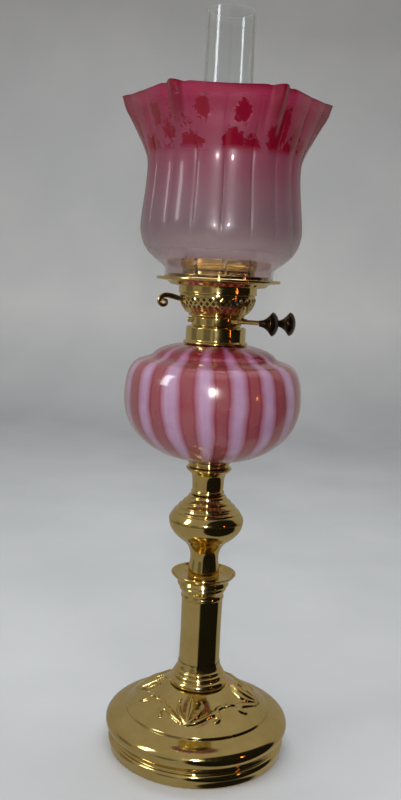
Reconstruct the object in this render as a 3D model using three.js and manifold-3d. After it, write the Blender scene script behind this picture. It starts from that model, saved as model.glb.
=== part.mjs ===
// Duplex oil lamp with a brass pillar stand, a striped glass font and a crimped glass shade.
// Millimetres, +Z up, origin on the table at the middle of the base.
// The two winder spindles lie along X, and their knobs are on the +X side.

import * as THREE from 'three';
import { mergeVertices } from 'three/addons/utils/BufferGeometryUtils.js';
import Module from 'manifold-3d';

const wasm = await Module();
wasm.setup();

// ---- driving dimensions ----

const SIDES = 20;             // facets round a turned piece
const GAP = 0.3;              // clearance between neighbouring pieces
const SHEET = 1.2;            // spun brass sheet

const BASE_R = 88.2;          // widest part of the base
const DOME_TOP_Z = 64;        // top of the base dome
const ROD_R = 4;              // tie rod through the stand
const ROD_HOLE_R = ROD_R + GAP;
const BALLAST_Z = 14;         // underside of the cast iron ballast
const BALLAST_R = 62;
const PALMETTES = 4;          // embossed on the dome, evenly spaced
const PALMETTE_TURN = -83;    // degrees, the front palmette

const COLUMN_R = 19.7;        // pillar
const COLUMN_Z = 86;
const CAPITAL_Z = 149;
const DISH_Z = 167.5;         // drip dish
const DISH_R = 31.1;
const KNOP_Z = 172;           // vase-shaped knop
const KNOP_R = 35.5;
const KNOP_MAX_Z = 226;
const NECK_Z = 257;           // neck that takes the font's peg
const FONT_Z = 283.4;         // underside of the glass font
const FONT_GLASS = 3.4;       // font wall
const FONT_MOUTH_R = 19;      // bore of the font's glass neck
const COLLAR_Z = 393.4;       // lower edge of the collar on the font
const COLLAR_R = 27.7;
const COLLAR_TOP_Z = 409.4;
const FONT_TOP_Z = 403.4;     // top of the font's glass neck

const BURNER_R = 23;          // winder chamber
const BURNER_Z = COLLAR_TOP_Z + GAP;
const SKIRT_Z = 403.8;        // lower edge of the skirt that drops into the collar
const CHAMBER_TOP_Z = 418;
const BASKET_Z = 421.3;       // pierced air basket
const BASKET_TOP_Z = 438.6;
const PIERCINGS = 20;         // diamond air holes, in two staggered rows
const WICK_Y = 5.5;           // each wick stands this far from the axis
const WICK_W = 28;
const WICK_T = 3;
const WICK_Z = 305;           // lower end of the wicks
const WICK_TOP_Z = 442;
const TUBE_WALL = 0.5;
const TUBE_Z = 397;
const TUBE_TOP_Z = 441;
const SPINDLE_Y = 11.5;
const SPINDLE_Z = 415;
const SPINDLE_R = 1.5;
const SPUR_R = 4.2;           // spur wheels that bite into the wicks
const SPUR_X = 7;
const FRONT_KNOB_X = 55.6;    // rim of each knob
const REAR_KNOB_X = 67;
const KNOB_R = 10.8;
const KNOB_NECK = 12.4;       // from the knob's neck to its rim

const LEVER_TURN = 217.7;     // degrees, the way the snuffer lever points
const PIVOT_U = 29.5;         // lever pivot, out from the axis
const PIVOT_Z = 431;
const CARRIAGE_Z = 431.2;     // snuffer carriage
const LID_HINGE_Y = 9.5;
const LID_HINGE_Z = 441;

const BAND_Z = 439;           // plain band of the gallery
const BAND_R = 36.2;
const RING_R = 57.1;          // gallery ring
const RING_Z = 452;
const UPSTAND_R = 46.4;       // centres the shade's neck
const CROWN_R = 33.4;         // sprung crown that grips the chimney
const CROWN_TOP_Z = 470;
const CROWN_FINGERS = 8;
const CHIMNEY_Z = 448.6;
const CHIMNEY_TOP_Z = 687.4;
const CHIMNEY_GLASS = 1.8;
const SHADE_Z = 452.5;
const SHADE_RIM_Z = 609.6;
const SHADE_RIM_R = 94.8;      // to the corners of the crimped rim
const SHADE_GLASS = 2.8;
const SHADE_SIDES = 36;       // two facets to each of the 18 optic panels
const SHADE_LOBES = 6;
const SHADE_TURN = 15;        // degrees, one corner of the crimped rim

// ---- materials ----

const BRASS = { color: 0xb59a45, roughness: 0.22, metalness: 1 };
const BRONZE = { color: 0x4a3826, roughness: 0.35, metalness: 1 };
const STEEL = { color: 0x8d8f92, roughness: 0.4, metalness: 1 };
const IRON = { color: 0x3a3a3c, roughness: 0.8, metalness: 0.6 };
const PLASTER = { color: 0xd8d2c4, roughness: 0.95, metalness: 0 };
const COTTON = { color: 0xe6dcc6, roughness: 0.95, metalness: 0 };
const FONT = { color: 0xc98bb0, roughness: 0.1, metalness: 0, transparent: true, opacity: 0.9 };
const SHADE = { color: 0xb04a6a, roughness: 0.3, metalness: 0, transparent: true, opacity: 0.6 };
const CLEAR = { color: 0xe8eeee, roughness: 0.03, metalness: 0, transparent: true, opacity: 0.3 };

const lamp = new THREE.Group();

function add(name, geometry, finish, parent = lamp) {
  const mesh = new THREE.Mesh(geometry, new THREE.MeshStandardMaterial(finish));
  mesh.name = name;
  parent.add(mesh);
  return mesh;
}

// ---- shape helpers ----

// A closed outline of [radius, height] pairs, turned about the Z axis.
function turned(outline, sides = SIDES) {
  const points = outline.map(([r, z]) => new THREE.Vector2(r, z));
  if (THREE.ShapeUtils.area(points) < 0) points.reverse();
  const onAxis = points.some((p) => p.x === 0);
  if (onAxis) {
    while (points[0].x !== 0 || points[points.length - 1].x !== 0) points.push(points.shift());
  } else {
    points.push(points[0].clone());
  }
  return new THREE.LatheGeometry(points, sides).rotateX(Math.PI / 2);
}

// The outline of a sheet of even thickness whose outer face is the given run of points.
function sheet(outer, thickness) {
  const inner = outer.map(([r, z], i) => {
    const before = outer[Math.max(i - 1, 0)];
    const after = outer[Math.min(i + 1, outer.length - 1)];
    const length = Math.hypot(after[0] - before[0], after[1] - before[1]);
    const inR = -(after[1] - before[1]) / length;
    const inZ = (after[0] - before[0]) / length;
    return [Math.max(r + inR * thickness, 0.01), z + inZ * thickness];
  });
  return [...outer, ...inner.reverse()];
}

// A plain ring or tube between two radii.
function tube(inner, outer, low, high) {
  return turned([[inner, low], [outer, low], [outer, high], [inner, high]]);
}

// Points on an arc of an outline, angles in degrees.
function arc(r, z, radius, from, to, steps) {
  return Array.from({ length: steps + 1 }, (_, i) => {
    const angle = THREE.MathUtils.degToRad(from + ((to - from) * i) / steps);
    return [r + radius * Math.cos(angle), z + radius * Math.sin(angle)];
  });
}

function box(x0, x1, y0, y1, z0, z1) {
  const geometry = new THREE.BoxGeometry(x1 - x0, y1 - y0, z1 - z0);
  return geometry.translate((x0 + x1) / 2, (y0 + y1) / 2, (z0 + z1) / 2);
}

// A round bar along X.
function barX(radius, x0, x1, y, z, sides = 12) {
  const geometry = new THREE.CylinderGeometry(radius, radius, x1 - x0, sides);
  return geometry.rotateZ(-Math.PI / 2).translate((x0 + x1) / 2, y, z);
}

// An outline in the X-Z plane, drawn out along Y about the plane y = 0.
function plate(shape, width) {
  const settings = { depth: width, bevelEnabled: false, curveSegments: 8 };
  return new THREE.ExtrudeGeometry(shape, settings).rotateX(Math.PI / 2).translate(0, width / 2, 0);
}

function toSolid(geometry) {
  const bare = geometry.clone();
  bare.deleteAttribute('normal');
  bare.deleteAttribute('uv');
  const merged = mergeVertices(bare, 1e-4);
  const vertProperties = new Float32Array(merged.attributes.position.array);
  const triVerts = new Uint32Array(merged.index.array);
  return new wasm.Manifold(new wasm.Mesh({ numProp: 3, vertProperties, triVerts }));
}

function toGeometry(solid) {
  const mesh = solid.getMesh();
  const geometry = new THREE.BufferGeometry();
  geometry.setAttribute('position', new THREE.BufferAttribute(mesh.vertProperties, 3));
  geometry.setIndex(new THREE.BufferAttribute(mesh.triVerts, 1));
  geometry.computeVertexNormals();
  return geometry;
}

function cut(geometry, tools) {
  return toGeometry(tools.reduce((solid, tool) => solid.subtract(toSolid(tool)), toSolid(geometry)));
}

function join(geometries) {
  return toGeometry(geometries.map(toSolid).reduce((whole, next) => whole.add(next)));
}

// Runs a maker once for the front half of the burner (-Y) and once for the rear (+Y).
function frontAndRear(make) {
  make('front', -1);
  make('rear', 1);
}

// ---- base ----

const DOME = [
  [68, 42], [58, 48.2], [45, 56.2], [28.5, 63.4], [22, DOME_TOP_Z],
];
const BASE_OUTLINE = [
  [76, 0], [83.6, 0], [85.5, 8.5], [82, 13.2], [82, 15.6], [84.8, 19],
  [BASE_R, 25.5], [86.4, 31.4], [78, 36], [70, 38.2], ...DOME, [9, DOME_TOP_Z],
];

// One raised leaf of a palmette: a flattened egg lying on the dome.
function leaf(radial, across, length, width, turnInPlane) {
  const slope = Math.atan2(DOME_TOP_Z - 42, 68 - 22);
  const height = 42.8 + (68 - radial) * Math.tan(slope);
  const geometry = new THREE.SphereGeometry(1, 6, 4).scale(length, width, 2.2);
  geometry.rotateZ(THREE.MathUtils.degToRad(turnInPlane));
  geometry.rotateY(slope);
  geometry.translate(radial, across, height + 0.6);
  return geometry;
}

function palmette(turn) {
  const leaves = [leaf(45, 0, 13, 5, 0)];
  for (const side of [-1, 1]) {
    leaves.push(leaf(47, side * 19, 13, 5, side * -52));
  }
  return leaves.map((piece) => piece.rotateZ(THREE.MathUtils.degToRad(turn)));
}

function baseShell() {
  const shell = turned(sheet(BASE_OUTLINE, SHEET + 0.2));
  const leaves = [];
  for (let i = 0; i < PALMETTES; i += 1) {
    leaves.push(...palmette(PALMETTE_TURN + (360 / PALMETTES) * i));
  }
  const inside = sheet(BASE_OUTLINE, SHEET + 0.2).slice(BASE_OUTLINE.length).reverse();
  const hollow = turned([[0, inside[0][1]], ...inside.slice(0, -1), [22, 62.6], [0, 62.6]]);
  const relief = leaves.map((piece) => toSolid(piece).subtract(toSolid(hollow)));
  return toGeometry(relief.reduce((whole, next) => whole.add(next), toSolid(shell)));
}

add('base_shell', baseShell(), BRASS);
add('base_ballast', turned([
  [ROD_HOLE_R, BALLAST_Z], [BALLAST_R, BALLAST_Z], [BALLAST_R, 25], [24, 30],
  [20, DOME_TOP_Z - SHEET - 0.2 - GAP], [ROD_HOLE_R, DOME_TOP_Z - SHEET - 0.2 - GAP],
]), IRON);
add('rod_washer', tube(ROD_HOLE_R, 14, 11.6, BALLAST_Z - GAP), STEEL);

const hexNut = new THREE.CylinderGeometry(7.5, 7.5, 6.4, 6).rotateX(Math.PI / 2);
const nutBore = new THREE.CylinderGeometry(ROD_HOLE_R, ROD_HOLE_R, 12, 16).rotateX(Math.PI / 2);
add('rod_nut', cut(hexNut.translate(0, 0, 8.1), [nutBore.translate(0, 0, 8.1)]), STEEL);
add('tie_rod', turned([[0, 4.5], [ROD_R, 4.5], [ROD_R, 266], [0, 266]], 16), STEEL);

// ---- pillar ----

add('pillar_foot', turned([
  [ROD_HOLE_R + 6, DOME_TOP_Z + GAP], [28.4, DOME_TOP_Z + GAP], [28.4, 69], [25, 71.2], [25, 75],
  [21.8, 78.6], [20.4, COLUMN_Z - GAP],
  [ROD_HOLE_R + 6, COLUMN_Z - GAP],
]), BRASS);
add('pillar_tube', tube(COLUMN_R - SHEET, COLUMN_R, COLUMN_Z, CAPITAL_Z - GAP), BRASS);
add('pillar_capital', turned([
  [ROD_HOLE_R, CAPITAL_Z], [20.6, CAPITAL_Z], [20.2, 155], [22.8, 160], [24.8, 164.6], [23.4, DISH_Z - GAP],
  [ROD_HOLE_R, DISH_Z - GAP],
]), BRASS);
add('drip_dish', turned([
  [ROD_HOLE_R, DISH_Z], [25, DISH_Z], [29, 169.8], [DISH_R, 173.8], [30, 174], [27.6, 170.8],
  [24.6, 169.2], [ROD_HOLE_R, 169.2],
]), BRASS);

// ---- knop and neck ----

const LOWER_KNOP = [
  [15.2, KNOP_Z - 2.5], [13.6, 184], [13.6, 192], [16.4, 200], [20.6, 205], [27, 209.4], [32.8, 216],
  [KNOP_R, KNOP_MAX_Z],
];
const UPPER_KNOP = [
  [KNOP_R, KNOP_MAX_Z + GAP], [34.4, 230.6], [31, 235], [27.2, 239], [22.4, 244], [17.8, 249.2], [15.6, 250.6],
];
add('knop_lower', turned([
  ...LOWER_KNOP, [KNOP_R - SHEET, KNOP_MAX_Z], [31.4, 217], [19.6, 206.4], [11.8, 192],
  [12.4, KNOP_Z - 2.5],
]), BRASS);
add('knop_upper', turned([
  ...UPPER_KNOP, [8.6, 250.6], [8.6, 249.2], [15.6, 248.2], [29, 234], [KNOP_R - SHEET, KNOP_MAX_Z + GAP],
]), BRASS);
add('font_socket', turned([
  [ROD_HOLE_R, 251], [15.8, 251], [15.8, 254.2], [15, NECK_Z], [15.8, 268], [21.6, 275.4],
  [21.6, 277], [10.4, 277], [10.4, 268], [ROD_HOLE_R, 268],
]), BRASS);

// ---- font ----

add('font_peg', turned([
  [0, 269], [10, 269], [10, 277 + GAP], [19.4, 277 + GAP], [20, FONT_Z - GAP], [0, FONT_Z - GAP],
]), BRASS);

const FONT_OUTLINE = [
  [0, FONT_Z], [19, FONT_Z], [34.8, 287.4], [51, 293.2], [66.7, 304.4], [77, 317.6], [82.2, 334],
  [82.4, 350], [79.8, 364], [74.2, 374.4], [61.4, 379.4], [54.2, 385], [43.4, 390], [30, 392.7],
  [22.5, 394], [22.5, FONT_TOP_Z],
];
const fontInside = FONT_OUTLINE.slice(1, -3).map(([r, z], i, run) => {
  const before = run[Math.max(i - 1, 0)];
  const after = run[Math.min(i + 1, run.length - 1)];
  const length = Math.hypot(after[0] - before[0], after[1] - before[1]);
  return [r - ((after[1] - before[1]) / length) * FONT_GLASS,
    z + ((after[0] - before[0]) / length) * FONT_GLASS];
});
add('font_glass', turned([
  ...FONT_OUTLINE, [FONT_MOUTH_R, FONT_TOP_Z], [FONT_MOUTH_R, 390.6], ...fontInside.slice(0, -2).reverse(),
  [0, fontInside[0][1]],
]), FONT);

add('collar_plaster', tube(22.8, COLLAR_R - 1.7, COLLAR_Z + 1, FONT_TOP_Z), PLASTER);
add('font_collar', turned([
  [COLLAR_R - 1.4, COLLAR_Z], [30, COLLAR_Z], [30, COLLAR_Z + 2], [COLLAR_R, COLLAR_Z + 2.8],
  [COLLAR_R, COLLAR_TOP_Z - 1.4], [26.4, COLLAR_TOP_Z], [20.2, COLLAR_TOP_Z], [20.2, 406.4],
  [COLLAR_R - 1.4, 404],
]), BRASS);

// ---- burner: chamber, basket and wick tubes ----

const tubeX = WICK_W / 2 + GAP + TUBE_WALL;
const tubeHalfY = WICK_T / 2 + GAP + TUBE_WALL;

// The slot that a wick tube passes through, on the front or rear side.
function tubeSlot(side, low, high, spare = GAP) {
  const near = side * WICK_Y - tubeHalfY - spare;
  const far = side * WICK_Y + tubeHalfY + spare;
  return box(-tubeX - spare, tubeX + spare, near, far, low, high);
}

const bothSlots = (low, high) => [tubeSlot(-1, low, high), tubeSlot(1, low, high)];

const chamber = turned([
  [0, BURNER_Z], [18.6, BURNER_Z], [18.6, SKIRT_Z], [19.8, SKIRT_Z], [19.8, BURNER_Z], [BURNER_R, BURNER_Z],
  [BURNER_R, CHAMBER_TOP_Z], [21.8, CHAMBER_TOP_Z], [21.8, BURNER_Z + 0.7], [0, BURNER_Z + 0.7],
]);
const spindleHoles = [-1, 1].map((side) => (
  barX(SPINDLE_R + GAP, -30, 30, side * SPINDLE_Y, SPINDLE_Z)
));
add('burner_chamber', cut(chamber, [...bothSlots(400, 412), ...spindleHoles]), BRASS);
add('burner_bead', turned([
  [22, CHAMBER_TOP_Z + GAP], [24.8, CHAMBER_TOP_Z + GAP], [26.1, 419.6], [24.8, 421], [22, 421],
]), BRASS);

const BASKET_OUTLINE = [
  [0, BASKET_Z], [27, BASKET_Z], [29.4, 423.4], [31.4, 426], [33, 430], [34, 434.4], [34.9, BASKET_TOP_Z],
];
const basket = turned([
  ...BASKET_OUTLINE, [34.1, BASKET_TOP_Z], [33.2, 434.6], [32.2, 430.4], [30.6, 426.6], [28.6, 424.2],
  [26.4, BASKET_Z + 0.8], [0, BASKET_Z + 0.8],
]);

// Two staggered rows of diamond piercings, and a slot for the lever.
function piercings() {
  const holes = [];
  for (let i = 0; i < PIERCINGS; i += 1) {
    const turn = ((i + 0.5) / PIERCINGS) * Math.PI * 2;
    const diamond = new THREE.CylinderGeometry(2.2, 2.2, 8, 4).rotateZ(Math.PI / 2);
    diamond.translate(32.4, 0, i % 2 ? 434.6 : 429.4);
    holes.push(diamond.rotateZ(turn));
  }
  return holes;
}

const leverTurn = THREE.MathUtils.degToRad(LEVER_TURN);
const leverSlot = box(30, 37, -2.6, 2.6, 428, 437.6).rotateZ(leverTurn);
add('burner_basket', cut(basket, [...bothSlots(420, 424), ...piercings(), leverSlot]), BRASS);

frontAndRear((place, side) => {
  const outside = tubeSlot(side, TUBE_Z, TUBE_TOP_Z, 0);
  const bore = tubeSlot(side, TUBE_Z - 5, TUBE_TOP_Z + 5, -TUBE_WALL);
  const windows = [-SPUR_X, SPUR_X].map((x) => {
    const near = side * (WICK_Y + WICK_T / 2 + GAP / 2);
    const far = side * (WICK_Y + 5);
    const low = SPINDLE_Z - SPUR_R - 0.5;
    const high = SPINDLE_Z + SPUR_R + 0.5;
    return box(x - 1.5, x + 1.5, Math.min(near, far), Math.max(near, far), low, high);
  });
  add(`wick_tube_${place}`, cut(outside, [bore, ...windows]), BRASS);
  const low = side * WICK_Y - WICK_T / 2;
  add(`wick_${place}`, box(-WICK_W / 2, WICK_W / 2, low, low + WICK_T, WICK_Z, WICK_TOP_Z), COTTON);
});

// ---- winders ----

// Mushroom-shaped knob: a trumpet neck, and a domed face that ends at x = rim + 4.8.
function knob(rimX) {
  const outline = [
    [0, rimX - KNOB_NECK], [3, rimX - KNOB_NECK], [3.8, rimX - 8.4], [6.4, rimX - 4.4], [KNOB_R, rimX - 0.7],
    [KNOB_R, rimX + 0.7], [8.4, rimX + 3], [4.4, rimX + 4.4], [0, rimX + 4.8],
  ];
  return turned(outline, 16).rotateY(Math.PI / 2);
}

frontAndRear((place, side) => {
  const y = side * SPINDLE_Y;
  const rimX = side < 0 ? FRONT_KNOB_X : REAR_KNOB_X;
  add(`spindle_${place}`, barX(SPINDLE_R, -22.6, rimX - KNOB_NECK - GAP, y, SPINDLE_Z), BRASS);
  add(`knob_${place}`, knob(rimX).translate(0, y, SPINDLE_Z), BRONZE);

  const teeth = new THREE.Shape();
  for (let i = 0; i < 24; i += 1) {
    const radius = i % 2 ? SPUR_R - 0.9 : SPUR_R;
    const angle = ((i + 0.5) / 24) * Math.PI * 2;
    teeth[i ? 'lineTo' : 'moveTo'](radius * Math.cos(angle), radius * Math.sin(angle));
  }
  const wheel = () => new THREE.ExtrudeGeometry(teeth, { depth: 1.4, bevelEnabled: false });
  for (const [hand, x] of [['left', -SPUR_X], ['right', SPUR_X]]) {
    const blank = wheel().rotateY(Math.PI / 2).translate(x - 0.7, y, SPINDLE_Z);
    const bore = barX(SPINDLE_R + 0.1, x - 5, x + 5, y, SPINDLE_Z);
    add(`spur_${place}_${hand}`, cut(blank, [bore]), STEEL);
  }

  const chamberWall = turned([
    [0, 400], [BURNER_R + GAP, 400], [BURNER_R + GAP, 430], [0, 430],
  ]);
  const spindleRoom = barX(SPINDLE_R + GAP, -40, 40, y, SPINDLE_Z);
  const bearing = barX(3, 12, 26.5, y, SPINDLE_Z, 16);
  const cap = barX(2.4, -24.2, -12, y, SPINDLE_Z, 16);
  const capRoom = barX(SPINDLE_R + GAP, -23, 0, y, SPINDLE_Z);
  add(`bearing_${place}`, cut(bearing, [chamberWall, spindleRoom]), BRASS);
  add(`bearing_cap_${place}`, cut(cap, [chamberWall, capRoom]), BRASS);
});

// ---- snuffer: lever, carriage and lids ----

// Drawn with its pivot at the right height and the arm pointing along +X, then turned into place.
const leverGroup = new THREE.Group();
leverGroup.rotation.z = leverTurn;
lamp.add(leverGroup);

function leverShape() {
  const shape = new THREE.Shape();
  shape.moveTo(19, 429.3);
  shape.lineTo(27, 429.3);
  shape.lineTo(28, 428.4);
  shape.lineTo(31, 428.6);
  shape.quadraticCurveTo(36, 431.4, 44, 433);
  shape.quadraticCurveTo(46.6, 433, 47.6, 430.6);
  shape.absarc(52.8, 431, 5.2, Math.PI, Math.PI * 2 + 0.5, false);
  shape.quadraticCurveTo(55.4, 438.6, 50, 438.4);
  shape.quadraticCurveTo(38, 437.8, 32, 434.4);
  shape.lineTo(28, 433.4);
  shape.lineTo(26.4, 430.9);
  shape.lineTo(19, 430.9);
  shape.closePath();
  return shape;
}

function crossBar(radius, width, u, z, sides = 12) {
  return new THREE.CylinderGeometry(radius, radius, width, sides).translate(u, 0, z);
}

const lever = cut(plate(leverShape(), 3.6), [crossBar(1.3, 10, PIVOT_U, PIVOT_Z)]);
add('snuffer_lever', lever, BRASS, leverGroup);
add('lever_pin', crossBar(1, 8, PIVOT_U, PIVOT_Z), STEEL, leverGroup);

const ears = [-1, 1].map((side) => {
  const near = Math.min(side * 2.1, side * 3.3);
  return box(23.5, 31.8, near, near + 1.2, BASKET_Z + 1.1, 433.4);
});
const bridge = box(21.5, 26, -3.3, 3.3, BASKET_Z + 1.1, BASKET_Z + 2.3);
const bracket = cut(join([bridge, ...ears]), [crossBar(1.3, 12, PIVOT_U, PIVOT_Z)]);
const basketInside = turned([
  [25.2, 421], [27.4, 424.3], [29.4, 426.7], [31, 430.4], [32, 434.6], [32.6, 440], [45, 440], [45, 421],
]);
add('lever_bracket', cut(bracket, [basketInside]), BRASS, leverGroup);

const sheaths = [-1, 1].map((side) => tubeSlot(side, CARRIAGE_Z, 440.6, GAP + 0.6));
const carriage = join([tube(0.01, 20, CARRIAGE_Z, CARRIAGE_Z + 1), ...sheaths]);
add('snuffer_carriage', cut(carriage, bothSlots(425, 445)), BRASS);

frontAndRear((place, side) => {
  const y = side * LID_HINGE_Y;
  const leafLow = Math.min(y - 0.4, y + 0.4);
  const leafPlate = box(-14.8, 14.8, leafLow, leafLow + 0.8, LID_HINGE_Z, LID_HINGE_Z + 7.4);
  const knuckle = barX(0.7, -14.8, 14.8, y, LID_HINGE_Z, 8);
  add(`snuffer_lid_${place}`, join([leafPlate, knuckle]), BRASS);
});

// ---- gallery ----

add('gallery_band', turned([
  [31.5, 446.2], [35.2, 446.2], [35.2, BAND_Z], [BAND_R, BAND_Z], [BAND_R, 447.2], [31.5, 447.2],
]), BRASS);
// Tray with a rolled edge. The shade stands on it, around the upstand.
add('gallery_ring', turned([
  [BAND_R + GAP, 445.4], [43.6, 446.2], [46.6, 449.6], [54.6, 450.6],
  ...arc(RING_R - 1.5, RING_Z, 1.5, -50, 130, 4),
  [53.4, 452.2], [UPSTAND_R, 452.2], [UPSTAND_R, 456.4], [UPSTAND_R - SHEET, 456.4], [UPSTAND_R - SHEET, 451],
  [43, 447.6], [BAND_R + GAP, 446.8],
]), BRASS);

// Domed cap over the wicks, with a slot for each flame.
const flameSlots = [-1, 1].map((side) => {
  const near = Math.min(side * 2.4, side * 8.6);
  return box(-15, 15, near, near + 6.2, 445, 465);
});
const cone = turned([
  [0, 456.4], [9, 455.8], [22, 451.2], [26, 448.4], [31.2, 448.3], [31.2, 447.5], [25.6, 447.5],
  [21.4, 450.2], [8.8, 454.8], [0, 455.4],
]);
add('flame_cone', cut(cone, flameSlots), BRASS);

// Sprung fingers that grip the foot of the chimney.
const crown = turned([
  [CROWN_R - 0.9, 447.5], [CROWN_R, 447.5], [CROWN_R, 462], [CROWN_R + 1.8, 467], [CROWN_R + 1.4, CROWN_TOP_Z],
  [CROWN_R + 0.5, CROWN_TOP_Z], [CROWN_R + 0.8, 467.2], [CROWN_R - 0.9, 462.2],
], 32);
const fingerGaps = Array.from({ length: CROWN_FINGERS }, (_, i) => {
  const turn = ((i + 0.5) / CROWN_FINGERS) * Math.PI * 2;
  return box(28, 40, -1.6, 1.6, 453, 475).rotateZ(turn);
});
add('chimney_crown', cut(crown, fingerGaps), BRASS);

// ---- chimney ----

const CHIMNEY_OUTLINE = [
  [32, CHIMNEY_Z], [32, 472], [36.6, 484], [38.8, 498], [37.6, 514], [30.6, 541], [25.2, 566],
  [22.7, 606], [21.4, CHIMNEY_TOP_Z],
];
add('chimney_glass', turned(sheet(CHIMNEY_OUTLINE, CHIMNEY_GLASS)), CLEAR);

// ---- shade ----

const SHADE_OUTLINE = [
  [49.8, SHADE_Z], [49.9, 462], [62, 471], [71.4, 485], [73.2, 496], [70.6, 523], [68.6, 548], [70, 560],
  [82.6, 587], [SHADE_RIM_R, SHADE_RIM_Z],
];

// Crimps the flare into a six-cornered rim and runs optic panels up the body.
function crimp(geometry) {
  const place = geometry.attributes.position;
  for (let i = 0; i < place.count; i += 1) {
    const x = place.getX(i);
    const y = place.getY(i);
    const z = place.getZ(i);
    const angle = Math.atan2(y, x);
    const flare = THREE.MathUtils.smoothstep(z, 548, SHADE_RIM_Z);
    const panel = THREE.MathUtils.smoothstep(z, 478, 500) * 0.8;
    const step = Math.PI / SHADE_LOBES;
    const offCorner = Math.abs(((angle % (2 * step)) + 3 * step) % (2 * step) - step);
    const straight = Math.cos(step) / Math.cos(step - offCorner);
    const ripple = (Math.cos(angle * 18) - 1) * 0.5 * panel;
    const scale = 1 + (straight - 1) * 0.75 * flare + ripple / 70;
    place.setXY(i, x * scale, y * scale);
  }
  geometry.computeVertexNormals();
  return geometry;
}

const shade = crimp(turned(sheet(SHADE_OUTLINE, SHADE_GLASS), SHADE_SIDES));
add('shade_glass', shade.rotateZ(THREE.MathUtils.degToRad(SHADE_TURN)), SHADE);

export default lamp;
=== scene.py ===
# Duplex oil lamp: brass pillar, striped glass font, clear chimney and crimped cranberry shade.
# The CAD frame gives every place and size. Outlines below are [radius, height] in millimetres.

import math

import bmesh
import bpy
import numpy as np
from mathutils import Matrix, Vector, noise


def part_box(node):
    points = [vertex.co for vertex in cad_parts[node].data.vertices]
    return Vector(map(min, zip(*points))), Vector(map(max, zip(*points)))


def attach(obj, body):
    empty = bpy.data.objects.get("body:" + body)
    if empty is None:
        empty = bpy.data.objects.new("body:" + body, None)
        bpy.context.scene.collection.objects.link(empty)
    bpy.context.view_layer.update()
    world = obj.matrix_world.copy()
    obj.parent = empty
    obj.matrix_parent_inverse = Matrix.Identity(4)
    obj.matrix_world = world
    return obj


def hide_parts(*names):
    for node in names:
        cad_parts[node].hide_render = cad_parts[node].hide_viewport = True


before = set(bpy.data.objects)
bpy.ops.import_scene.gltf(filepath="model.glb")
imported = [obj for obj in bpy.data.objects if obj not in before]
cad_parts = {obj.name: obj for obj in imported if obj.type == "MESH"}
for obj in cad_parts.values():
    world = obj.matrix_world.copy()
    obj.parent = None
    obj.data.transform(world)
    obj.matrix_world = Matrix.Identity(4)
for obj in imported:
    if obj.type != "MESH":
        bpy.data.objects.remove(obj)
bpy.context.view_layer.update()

MM = 0.001
TAU = 2 * math.pi
CAMERA_AZIMUTH = math.radians(15)
CAMERA_DISTANCE = 0.821       # metres from the lamp's axis
CAMERA_HEIGHT = 0.453

ROD_HOLE_R = 4.3              # round the tie rod
SPINDLE_HOLE_R = 1.8
SPINDLE_END_GAP = 0.3
SPINDLE_SIDES = 32

STRIPES = 17                  # milky stripes round the font
FONT_CROWN = 0.089            # metres above the font's foot, where the stripes fade
FONT_FOOT = 0.02
CHARRED_FROM = 0.4395         # height in metres where the wicks are burnt

PALMETTES = 4
PALMETTE_TURN = math.radians(-83)
PALMETTE_REACH = (26, 66)     # nearest and farthest radius of the relief
DOME_SLOPE = math.atan2(22, 38.5)

LATTICE_COLUMNS = 38
LATTICE_ROWS = 3
LATTICE_HOLE = 0.64           # share of each diamond that is cut out
LEVER_TURN = math.radians(217.7)
LEVER_PIVOT = (29.5, 431)     # out from the axis, and height
LEVER_SIDES = 16
LEVER_HALF_WIDTH = 1.8
LEVER_SLOT_HALF_WIDTH = 4.4

CROWN_FINGERS = 8
CROWN_FINGER_STEPS = 16
CROWN_SLIT = 0.09             # share of each finger's arc

SHADE_TURN = math.radians(15)
RIM_CORNERS = 6
OPTIC_PANELS = 18


# ---- the camera and the light ----

def toward(right, up=0.0):
    """Unit vector from the lamp, turned right of the camera's direction and up, in degrees."""
    turn = CAMERA_AZIMUTH + math.radians(right)
    flat = math.cos(math.radians(up))
    return Vector((math.sin(turn) * flat, -math.cos(turn) * flat, math.sin(math.radians(up))))


def make_camera():
    data = bpy.data.cameras.new("camera")
    data.lens = 39.83
    data.sensor_width = 36
    data.clip_start = 0.01
    camera = bpy.data.objects.new("camera", data)
    camera.location = toward(0) * CAMERA_DISTANCE + Vector((0, 0, CAMERA_HEIGHT))
    aside, down, roll = math.radians(0.77), math.radians(7.84), math.radians(2.83)
    turn = Matrix.Rotation(CAMERA_AZIMUTH + aside, 3, "Z")
    tilt = Matrix.Rotation(math.pi / 2 - down, 3, "X")
    camera.rotation_euler = (turn @ tilt @ Matrix.Rotation(roll, 3, "Z")).to_euler()
    bpy.context.scene.collection.objects.link(camera)
    bpy.context.scene.camera = camera


def area_light(name, right, up, distance, size, watts, colour, aim=0.35, reflected=True):
    data = bpy.data.lights.new(name, "AREA")
    data.shape = "RECTANGLE"
    data.size, data.size_y = size
    data.energy = watts
    data.color = colour
    light = bpy.data.objects.new(name, data)
    light.location = toward(right, up) * distance + Vector((0, 0, aim))
    facing = Vector((0, 0, aim)) - light.location
    light.rotation_euler = facing.to_track_quat("-Z", "Y").to_euler()
    light.visible_camera = False
    light.visible_glossy = reflected
    bpy.context.scene.collection.objects.link(light)


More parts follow.
